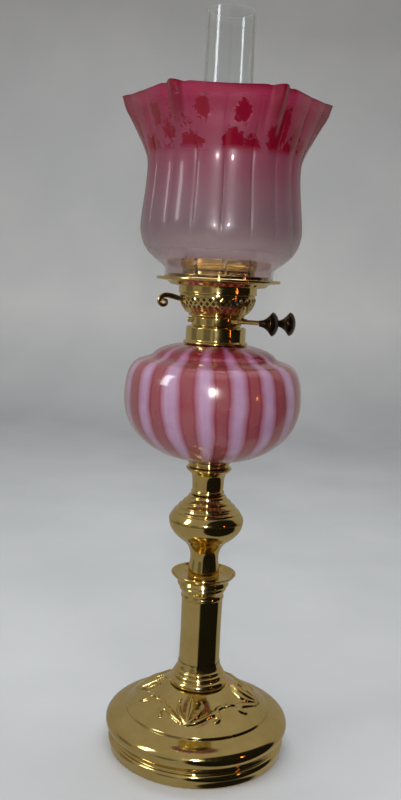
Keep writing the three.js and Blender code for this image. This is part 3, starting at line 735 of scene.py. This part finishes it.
def make_basket():
    """The floor and bowl of the air basket, its band of diamond piercings, and the plain top edge."""
    low, top, radius = span("burner_basket")
    band_low, band_high = low + 3.2, top - 1.6
    half_rise = (band_high - band_low) / (LATTICE_ROWS + 1)
    columns = LATTICE_COLUMNS * 2
    slot_reach = LEVER_SLOT_HALF_WIDTH / radius

    def wall_radius(z):
        t = (z - low) / (top - low)
        return 27.2 + (radius - 27.2) * (1 - (1 - t) ** 2.2)

    bm = bmesh.new()
    corners = {}

    def point(column, z, r=None):
        key = (round(column % columns, 4), round(z, 4), r)
        if key not in corners:
            angle = TAU * column / columns
            r = wall_radius(z) if r is None else r
            corners[key] = bm.verts.new((r * math.cos(angle) * MM, r * math.sin(angle) * MM, z * MM))
        return corners[key]

    def ring_of_faces(a, b):
        for k in range(columns):
            bm.faces.new([point(k, *a), point(k + 1, *a), point(k + 1, *b), point(k, *b)])

    def at_lever(column):
        off = (TAU * column / columns - LEVER_TURN + math.pi) % TAU - math.pi
        return abs(off) < slot_reach

    levels = [(low + 0.4, 16.2), (low + 0.3, 26.6), (low + 1.4, None), (low + 2.4, None), (band_low, None)]
    for a, b in zip(levels, levels[1:]):
        ring_of_faces(a, b)
    for row in range(LATTICE_ROWS):
        z = band_low + half_rise * (row + 1)
        for k in range(LATTICE_COLUMNS):
            middle = 2 * k + row % 2
            if at_lever(middle):
                continue
            outer = [(middle - 1, z), (middle, z - half_rise), (middle + 1, z), (middle, z + half_rise)]
            inner = [(middle + (c - middle) * LATTICE_HOLE, z + (h - z) * LATTICE_HOLE) for c, h in outer]
            for i in range(4):
                j = (i + 1) % 4
                bm.faces.new([point(*outer[i]), point(*outer[j]), point(*inner[j]), point(*inner[i])])
    for k in range(LATTICE_COLUMNS):
        under = 2 * k + 1
        over = 2 * k + LATTICE_ROWS % 2
        bm.faces.new([point(under - 1, band_low), point(under + 1, band_low),
                      point(under, band_low + half_rise)])
        if not at_lever(over):
            bm.faces.new([point(over - 1, band_high), point(over, band_high - half_rise),
                          point(over + 1, band_high)])
    ring_of_faces((band_high, None), (top - 0.8, None))
    ring_of_faces((top - 0.8, None), (top, None))
    bmesh.ops.recalc_face_normals(bm, faces=bm.faces)
    made = piece("pierced_basket", bm, "burner", BRASS, ["burner_basket"], 40)
    thicken = made.modifiers.new("sheet", "SOLIDIFY")
    thicken.thickness = 0.8 * MM
    thicken.offset = -1
    soften = made.modifiers.new("edges", "BEVEL")
    soften.width = 0.16 * MM
    soften.segments = 2
    soften.angle_limit = math.radians(40)


def bar_along_x(path, centre, sides=48):
    """A turned mesh whose heights run along X from x = 0, set at a centre in millimetres."""
    bm = turned_mesh(path, sides)
    move = Matrix.Translation(Vector(centre) * MM) @ Matrix.Rotation(math.pi / 2, 4, "Y")
    bmesh.ops.transform(bm, matrix=move, verts=bm.verts)
    return bm


def make_winders():
    for side in ("front", "rear"):
        body = f"winder_{side}"
        low, high = (Vector(v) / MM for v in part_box(f"spindle_{side}"))
        centre = (low + high) / 2
        radius = (high.z - low.z) / 2
        length = high.x - low.x
        rod = rounded([(0, 0), (radius, 0, 0.3), (radius, length, 0.3), (0, length)], closed=False)
        piece(f"{body}_spindle", bar_along_x(rod, (low.x, centre.y, centre.z), SPINDLE_SIDES), body, BRASS,
              [f"spindle_{side}"])
        spindle_start = low.x

        low, high = (Vector(v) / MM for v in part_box(f"knob_{side}"))
        length, radius = high.x - low.x, (high.z - low.z) / 2
        neck = flowing([(3, 0.2), (3.1, 2), (3.7, 4), (5.2, 6.4), (7.4, 8.7), (9.6, 10.6),
                        (radius - 0.3, 11.5)], steps=5)
        face = flowing([(radius - 0.3, 12.8), (9.4, 14.3), (6.8, 15.9), (3.4, 16.9), (0, length)], steps=5)
        rim = rounded([(radius - 0.3, 11.5), (radius, 11.9, 0.3), (radius, 12.4, 0.3)], closed=False)
        knob = [Vector((0, 0)), *neck, *rim[1:], *face]
        piece(f"{body}_knob", bar_along_x(knob, (low.x, centre.y, centre.z), 96), body, BRONZE,
              [f"knob_{side}"], 45)

        low, high = (Vector(v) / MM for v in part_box(f"bearing_{side}"))
        length, outer = high.x - low.x, (high.z - low.z) / 2
        sleeve = rounded([(SPINDLE_HOLE_R, 0), (outer, 0), (outer, length - 2.4, 0.3),
                          (outer - 0.7, length - 2, 0.3), (outer - 0.7, length, 0.4),
                          (SPINDLE_HOLE_R, length, 0.2)])
        piece(f"sleeve_{side}", bar_along_x(sleeve, (low.x, centre.y, centre.z)), "burner", BRASS,
              [f"bearing_{side}"])
        low, high = (Vector(v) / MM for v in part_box(f"bearing_cap_{side}"))
        length, outer = high.x - low.x, (high.z - low.z) / 2
        floor = spindle_start - low.x - SPINDLE_END_GAP
        cap = rounded([(0, 0), (outer - 0.6, 0, 0.3), (outer, 0.8, 0.4), (outer, length),
                       (SPINDLE_HOLE_R, length), (SPINDLE_HOLE_R, floor), (0, floor)], closed=False)
        piece(f"end_cap_{side}", bar_along_x(cap, (low.x, centre.y, centre.z)), "burner", BRASS,
              [f"bearing_cap_{side}"])


# ---- snuffer lever ----

def make_lever():
    """A flat strap that arches out of the basket and curls under into a scroll."""
    spine = flowing([(19.6, 430.1), (26.6, 430.2), (30.5, 431.4), (35, 433.2), (40, 434.5), (45, 435.7),
                     (49.6, 436.4), (53.6, 435.5), (56.2, 432.9), (56.4, 429.7), (54.3, 427.4),
                     (51.3, 427.5), (49.6, 429.6), (50.4, 431.9), (52.5, 432.1), (53.1, 430.6)], steps=6)
    bm = bmesh.new()
    rings = []
    for k, p in enumerate(spine):
        t = k / (len(spine) - 1)
        ahead = (spine[min(k + 1, len(spine) - 1)] - spine[max(k - 1, 0)]).normalized()
        across = Vector((-ahead.y, ahead.x))
        thick = 0.8 + 1.6 * smooth(t, 0.12, 0.28) * (1 - 0.8 * smooth(t, 0.3, 1.0))
        ring = []
        for j in range(LEVER_SIDES):
            angle = TAU * j / LEVER_SIDES
            flat = math.copysign(abs(math.cos(angle)) ** 0.45, math.cos(angle))
            tall = math.copysign(abs(math.sin(angle)) ** 0.75, math.sin(angle))
            u = p.x + across.x * tall * thick
            z = p.y + across.y * tall * thick
            ring.append(bm.verts.new((u * MM, flat * LEVER_HALF_WIDTH * MM, z * MM)))
        rings.append(ring)
    for a, b in zip(rings, rings[1:]):
        for j in range(LEVER_SIDES):
            n = (j + 1) % LEVER_SIDES
            bm.faces.new((a[j], a[n], b[n], b[j]))
    bm.faces.new(rings[0])
    bm.faces.new(rings[-1])
    hub_radius = 2.4 * MM
    hub = bmesh.ops.create_cone(bm, cap_ends=True, segments=32, radius1=hub_radius, radius2=hub_radius,
                                depth=LEVER_HALF_WIDTH * 2 * MM)
    out, height = LEVER_PIVOT
    place = Matrix.Translation((out * MM, 0, height * MM)) @ Matrix.Rotation(math.pi / 2, 4, "X")
    bmesh.ops.transform(bm, verts=hub["verts"], matrix=place)
    bmesh.ops.transform(bm, matrix=Matrix.Rotation(LEVER_TURN, 4, "Z"), verts=bm.verts)
    bmesh.ops.recalc_face_normals(bm, faces=bm.faces)
    piece("lever", bm, "lever", BRASS, ["snuffer_lever"], 50)


# ---- gallery ----

def make_gallery():
    low, top, radius = span("gallery_band")
    band = rounded([(31.5, top - 1), (radius - 1, top - 1), (radius - 1, low), (radius - 0.3, low, 0.2),
                    (radius, low + 0.9, 0.3), (radius - 0.3, low + 1.6, 0.3),
                    (radius - 0.2, top - 1.2, 0.4), (radius, top - 0.6, 0.3),
                    (radius - 0.4, top, 0.3), (31.5, top)])
    piece("band", turned_mesh(band), "gallery", BRASS, ["gallery_band"])

    low, top, radius = span("gallery_ring")
    upstand, bead = 46.4, 1.5
    turns = [math.radians(a) for a in range(-80, 180, 20)]
    roll = [(radius - bead + bead * math.cos(a), low + 6.6 + bead * math.sin(a)) for a in turns]
    ring = rounded([(36.5, low, 0.3), (43.6, low + 0.9, 1.2), (46.8, low + 4.2, 1.2),
                    (54, low + 5.2, 0.5), *roll, (53.4, low + 6.8, 0.4), (upstand, low + 6.8, 0.3),
                    (upstand, top - 0.5, 0.4), (upstand - 0.6, top, 0.3), (upstand - 1.2, top - 0.4, 0.2),
                    (upstand - 1.2, low + 5.8, 0.6), (43, low + 2.4, 1.2), (36.5, low + 1.4, 0.3)])
    piece("ring", turned_mesh(ring, 180), "gallery", BRASS, ["gallery_ring"])


def make_crown():
    """A ring of eight sprung fingers that flare out and turn in at the top."""
    low, top, radius = span("chimney_crown")
    grip = radius - 1.8
    profile = [*rounded([(grip, low), (grip, low + 4, 1)], closed=False), Vector((grip, low + 6.5)),
               *flowing([(grip, low + 9), (grip - 0.3, low + 12), (grip + 0.1, low + 15),
                         (radius - 0.1, low + 19.4), (radius, low + 20.6), (radius - 0.6, top)], steps=5)]
    sides = CROWN_FINGERS * CROWN_FINGER_STEPS
    bm = bmesh.new()
    rings = []
    for p in profile:
        ring = []
        for k in range(sides):
            finger, step = divmod(k, CROWN_FINGER_STEPS)
            t = step / (CROWN_FINGER_STEPS - 1)
            slit = CROWN_SLIT * min(1, max(0, (p.y - low - 6) * 2))
            angle = TAU / CROWN_FINGERS * (finger - 0.5 + slit / 2 + t * (1 - slit))
            ring.append(bm.verts.new((p.x * MM * math.cos(angle), p.x * MM * math.sin(angle), p.y * MM)))
        rings.append(ring)
    for row, (a, b) in enumerate(zip(rings, rings[1:])):
        for k in range(sides):
            between_fingers = (k + 1) % CROWN_FINGER_STEPS == 0
            if not (between_fingers and profile[row + 1].y > low + 6):
                bm.faces.new((a[k], a[(k + 1) % sides], b[(k + 1) % sides], b[k]))
    bmesh.ops.recalc_face_normals(bm, faces=bm.faces)
    made = piece("crown", bm, "gallery", BRASS, ["chimney_crown"], 50)
    thicken = made.modifiers.new("sheet", "SOLIDIFY")
    thicken.thickness = 0.7 * MM
    thicken.offset = -1


# ---- chimney and shade ----

def make_chimney():
    low, top, radius = span("chimney_glass")
    outer = flowing([(32, low), (31.9, low + 10), (31.9, low + 20), (32.8, low + 27), (36, low + 36),
                     (38.4, low + 45), (radius, low + 51), (38.2, low + 60), (35.4, low + 72),
                     (31, low + 88), (27.4, low + 104), (24.8, low + 122), (23, low + 148),
                     (22, low + 185), (21.6, low + 215), (21.5, top)], steps=6)
    glass = [*outer[:-1], Vector((21.2, top)), Vector((19.9, top)), *inward(outer, 1.7)[1:]]
    piece("chimney", turned_mesh(glass, 144), "chimney", CLEAR, ["chimney_glass"], 60)


def make_shade():
    low, top, _ = span("shade_glass")
    rim_radius = 94.7
    wall = 2.4
    outer = flowing([(49.8, low), (49.9, low + 4.4), (50.2, low + 8.6), (53.4, low + 12.2),
                     (59.6, low + 16.8), (66.6, low + 23.6), (71.4, low + 32.6), (73.6, low + 43),
                     (73, low + 55), (71.4, low + 69), (69.9, low + 84), (69.2, low + 97), (70, low + 106),
                     (73.6, low + 115.4), (78.8, low + 125.4), (84.6, low + 136.4), (90.6, low + 147),
                     (rim_radius - 0.4, top - 0.9)], steps=7)
    edge = rounded([tuple(outer[-1]), (rim_radius, top - 0.2, 0.2), (rim_radius - 1.2, top, 0.6),
                    (rim_radius - 2.5, top - 0.4)], closed=False)
    path = [*outer[:-1], *edge, *inward(outer, wall)[1:]]

    step = TAU / RIM_CORNERS

    def warp(r, z, angle):
        flare = smooth(z, low + 100, top - 6)
        panel = smooth(z, low + 26, low + 52)
        off = (angle + step / 2) % step - step / 2
        front_or_back = round(angle / step - 0.5) % 3 == 1
        side_tip = round(angle / step) % 3 == 0
        fullness = 0.8 if front_or_back else 0.9
        straight = math.cos(step / 2) / math.cos(step / 2 - abs(off))
        pleat = 0 if side_tip else math.exp(-((abs(off) - 0.1) / 0.045) ** 2) * 2.8 * flare ** 1.4
        rib = (abs(math.cos(angle * OPTIC_PANELS / 2)) ** 0.5 - 1) * 1.9 * panel * (1 - 0.6 * flare)
        seed = Vector((math.cos(angle) * 2, math.sin(angle) * 2, z * 0.02))
        unevenness = abs(noise.noise(seed) * 0.8 * flare)
        droop = 1.8 * flare * (1 - math.exp(-(off / 0.2) ** 2))
        crimped = r * (1 + (straight - 1) * fullness * flare)
        return crimped + rib - pleat - unevenness, z - pleat * 0.3 - droop

    bm = turned_mesh(path, 432, warp)
    bmesh.ops.rotate(bm, matrix=Matrix.Rotation(SHADE_TURN, 3, "Z"), verts=bm.verts)
    piece("shade_crimped", bm, "shade", ETCHED, ["shade_glass"], 60)


# ---- CAD nodes that keep their shape ----

KEPT = {
    "rod_nut": STEEL, "wick_tube_front": DULL_BRASS, "wick_tube_rear": DULL_BRASS,
    "wick_front": COTTON, "wick_rear": COTTON, "spur_front_left": STEEL, "spur_front_right": STEEL,
    "spur_rear_left": STEEL, "spur_rear_right": STEEL, "lever_pin": STEEL, "lever_bracket": DULL_BRASS,
    "snuffer_carriage": DULL_BRASS, "snuffer_lid_front": DULL_BRASS, "snuffer_lid_rear": DULL_BRASS,
    "flame_cone": DULL_BRASS,
}


def dress_kept_nodes():
    """Gives each CAD node that stays its own material in all its slots."""
    for name, material in KEPT.items():
        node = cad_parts[name]
        for slot in node.material_slots:
            slot.material = material


# ---- stage ----

def make_stage():
    """A pale floor that sweeps up into a wall behind the lamp."""
    bm = bmesh.new()
    far, bend, floor = 1.7, 0.7, -0.0002
    profile = [(-2.6, floor), (far, floor)]
    for a in np.linspace(0.1, math.pi / 2, 14):
        profile.append((far + bend * math.sin(a), bend - bend * math.cos(a)))
    profile += [(far + bend, 3.4)]
    rows = [[bm.verts.new((x, y, z)) for x in (-4.0, 4.0)] for y, z in profile]
    for a, b in zip(rows, rows[1:]):
        bm.faces.new((a[0], a[1], b[1], b[0]))
    bmesh.ops.rotate(bm, matrix=Matrix.Rotation(CAMERA_AZIMUTH, 3, "Z"), verts=bm.verts)
    mesh = bpy.data.meshes.new("studio")
    bm.to_mesh(mesh)
    bm.free()
    mesh.polygons.foreach_set("use_smooth", [True] * len(mesh.polygons))
    mesh.materials.append(stage_material())
    studio = bpy.data.objects.new("studio", mesh)
    bpy.context.scene.collection.objects.link(studio)
    studio.visible_glossy = False


make_camera()
make_lights()
make_stage()
make_base()
make_pillar()
make_knop()
make_font()
make_chamber()
make_basket()
make_winders()
make_lever()
make_gallery()
make_crown()
make_chimney()
make_shade()
dress_kept_nodes()
